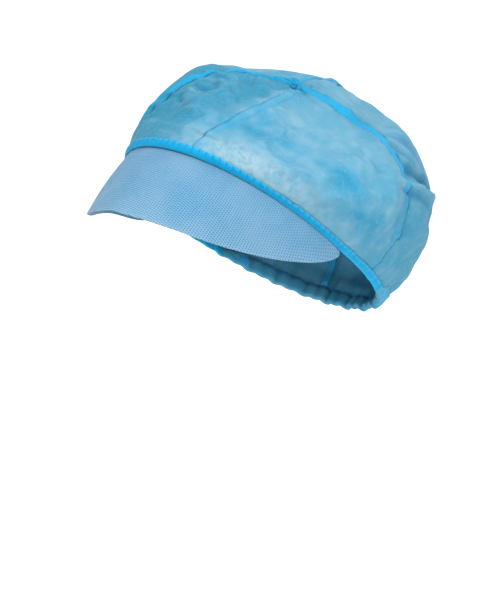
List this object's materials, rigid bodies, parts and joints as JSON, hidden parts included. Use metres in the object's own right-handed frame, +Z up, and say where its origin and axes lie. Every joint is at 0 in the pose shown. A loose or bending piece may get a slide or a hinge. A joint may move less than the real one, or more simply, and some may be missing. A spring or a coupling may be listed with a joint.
{
  "type": "peaked hygiene cap",
  "caption": "Soft non-woven peaked cap with four sewn crown panels, a folded front band, an elastic nape hem and a stiff embossed peak.",
  "frame": {"origin": "middle of the head at the height of the rim's front centre: on the left-right centre line, 77 mm behind the forehead rim", "axes": "+Z up as worn, -Y out of the wearer's forehead and along the peak, +X to the wearer's left"},
  "size_m": [0.1854, 0.2574, 0.169],
  "materials": {
    "crown_cloth": "thin spun-bonded non-woven, slightly see-through",
    "seam_cloth": "doubled non-woven",
    "band_cloth": "folded non-woven in several layers",
    "peak_cloth": "stiff laminated non-woven with a fine bonded grid",
    "elastic": "covered elastic tape",
    "thread": "polyester sewing thread"
  },
  "bodies": {
    "crown": {"crown_front_panel": "crown_cloth", "crown_left_panel": "crown_cloth", "crown_back_panel": "crown_cloth", "crown_right_panel": "crown_cloth", "seam_allowance_front_right": "seam_cloth", "seam_allowance_front_left": "seam_cloth", "seam_allowance_back_left": "seam_cloth", "seam_allowance_back_right": "seam_cloth", "seam_thread_front_right": "thread", "seam_thread_front_left": "thread", "seam_thread_back_left": "thread", "seam_thread_back_right": "thread", "front_band": "band_cloth", "band_stitching": "thread", "back_hem": "seam_cloth", "hem_stitching": "thread", "nape_elastic": "elastic", "elastic_tack_left": "thread", "elastic_tack_right": "thread", "peak_sewn_edge": "peak_cloth", "peak_stitching": "thread"},
    "peak": {"peak": "peak_cloth"}
  },
  "joints": [
    {"name": "peak_lift", "type": "hinge", "parent": "crown", "child": "peak", "pos_m": [0, -0.077, 0], "axis": [-1, 0, 0], "range_deg": [0, 20], "stiffness_Nm_per_rad": 0.02}
  ]
}
